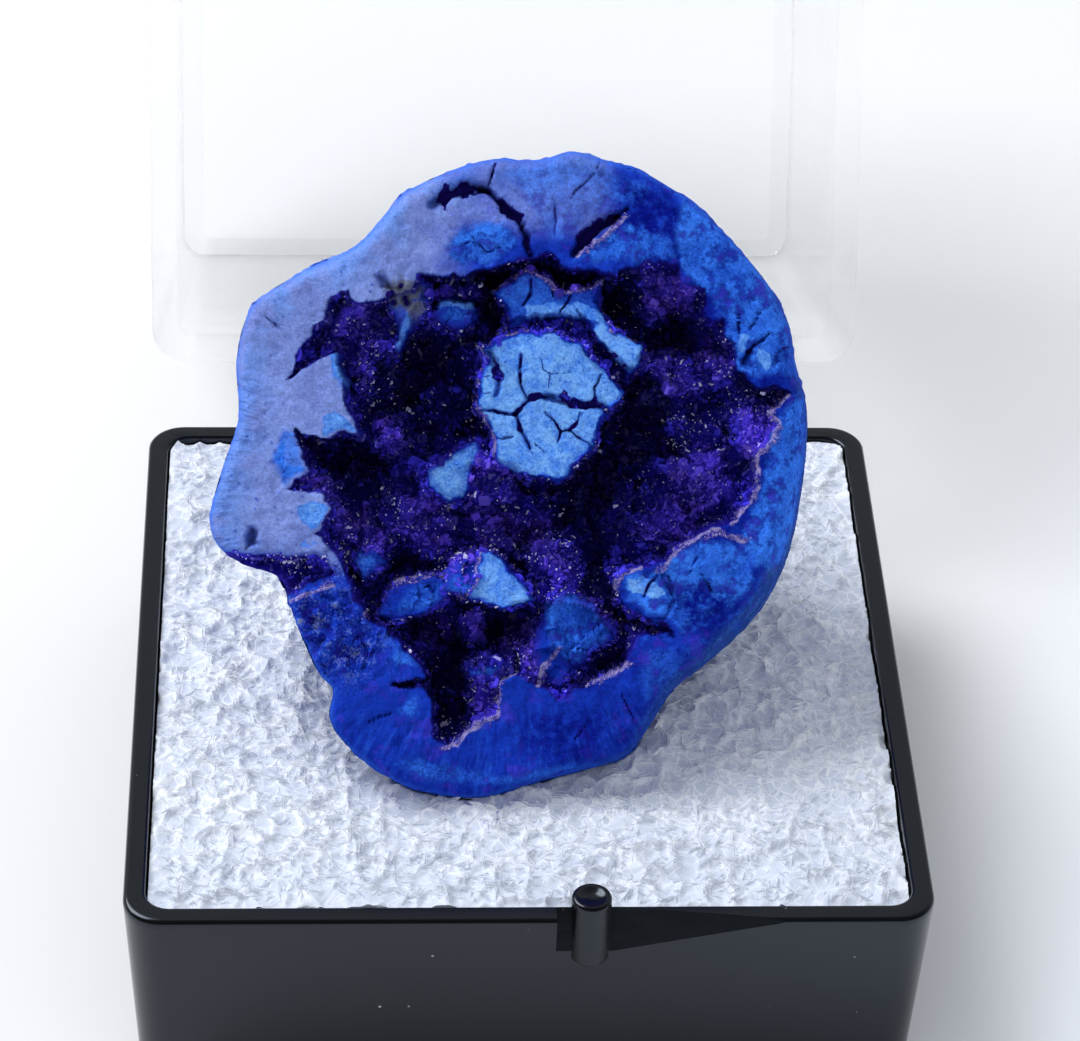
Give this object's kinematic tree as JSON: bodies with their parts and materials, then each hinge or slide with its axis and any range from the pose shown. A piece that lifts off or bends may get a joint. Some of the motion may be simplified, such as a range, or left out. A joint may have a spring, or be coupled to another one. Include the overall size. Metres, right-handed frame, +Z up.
{
  "type": "azurite specimen",
  "caption": "Half of a blue azurite nodule, its hollow lined with dark crystals, standing in a foam block in a square hinged specimen box with a black base and a clear lid.",
  "frame": {"origin": "centre of the box's underside, on the surface it stands on", "axes": "+Z up, +X along the hinge to the right seen from the latch side, +Y from the latch towards the hinge"},
  "size_m": [0.0318, 0.0716, 0.0405],
  "materials": {
    "azurite": "matt blue mineral, pale and cracked on the plates, deep blue and fibrous on the rind",
    "druse": "glittering deep violet-blue crystal crust",
    "black_plastic": "glossy moulded black polystyrene with light dust",
    "clear_plastic": "clear moulded polystyrene",
    "foam": "white open polystyrene foam with glassy cell walls"
  },
  "bodies": {
    "base": {"box_base": "black_plastic", "foam_insert": "foam", "azurite_nodule": "azurite", "azurite_druse": "druse"},
    "lid": {"box_lid": "clear_plastic"}
  },
  "joints": [
    {"name": "lid_hinge", "type": "hinge", "parent": "base", "child": "lid", "pos_m": [0, 0.01783, 0.009], "axis": [1, 0, 0], "range_deg": [0, 115]}
  ]
}
